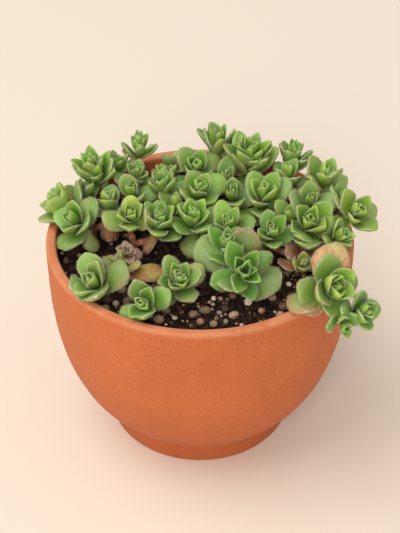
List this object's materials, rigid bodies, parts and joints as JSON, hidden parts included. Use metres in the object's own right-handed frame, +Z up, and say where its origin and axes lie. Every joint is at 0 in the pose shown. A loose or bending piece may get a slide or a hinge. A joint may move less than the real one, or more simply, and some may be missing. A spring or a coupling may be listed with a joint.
{
  "type": "potted crassula",
  "caption": "Low bush of fleshy rosettes on woody branching stems, planted in a round footed terracotta bowl filled with dark gritty soil",
  "frame": {"origin": "middle of the flat underside of the bowl's foot, where it stands on a table", "axes": "+Z up along the bowl's axis, -Y towards the viewer of the picture, +X to the viewer's right"},
  "size_m": [0.1656, 0.15, 0.1367],
  "materials": {
    "terracotta": "matte unglazed fired clay",
    "soil": "matte humus with pumice granules",
    "bark": "rough woody stem",
    "leaf_fresh": "satin fresh green leaf",
    "leaf_grey": "matte bloomed grey-green leaf",
    "leaf_olive": "satin olive leaf",
    "leaf_rosy": "matte withered rosy leaf"
  },
  "bodies": {
    "root": {"pot": "terracotta", "soil": "soil", "stem_back_left": "bark", "stem_left": "bark", "stem_mid_left": "bark", "stem_front_left": "bark", "stem_front": "bark", "stem_front_mid": "bark", "stem_middle": "bark", "stem_back": "bark", "stem_back_right": "bark", "stem_right": "bark", "stem_right_edge": "bark", "stem_mid_right": "bark", "stem_front_right": "bark", "head_big_front": "leaf_grey", "head_over_rim": "leaf_fresh", "head_front_left": "leaf_grey", "head_front": "leaf_fresh", "head_front_mid": "leaf_grey", "head_low_left": "leaf_olive", "head_right": "leaf_fresh", "head_side_right": "leaf_fresh", "head_mid_right": "leaf_fresh", "bud_yellow": "leaf_olive", "head_edge_left": "leaf_fresh", "head_far_left": "leaf_fresh", "head_left_mid": "leaf_grey", "head_bright_left": "leaf_fresh", "head_grey_left": "leaf_grey", "head_mid_left": "leaf_fresh", "head_erect": "leaf_fresh", "head_middle": "leaf_fresh", "head_round": "leaf_fresh", "head_centre": "leaf_fresh", "head_cup": "leaf_fresh", "head_spiky_back": "leaf_fresh", "head_low_back": "leaf_grey", "head_tall_right": "leaf_fresh", "head_behind": "leaf_grey", "head_spiky_right": "leaf_olive", "head_grey_right": "leaf_grey", "head_wide_right": "leaf_fresh", "head_small_right": "leaf_grey", "head_edge_right": "leaf_fresh", "head_grey_edge": "leaf_grey", "head_far_right": "leaf_fresh", "head_long_left": "leaf_fresh", "head_spiky_left": "leaf_fresh", "bud_left": "leaf_fresh", "head_small_left": "leaf_grey", "head_low_mid": "leaf_grey", "low_back_middle": "leaf_grey", "low_middle": "leaf_grey", "low_right": "leaf_grey", "low_centre": "leaf_grey", "low_left": "leaf_grey", "stump_left": "leaf_rosy"}
  },
  "joints": []
}
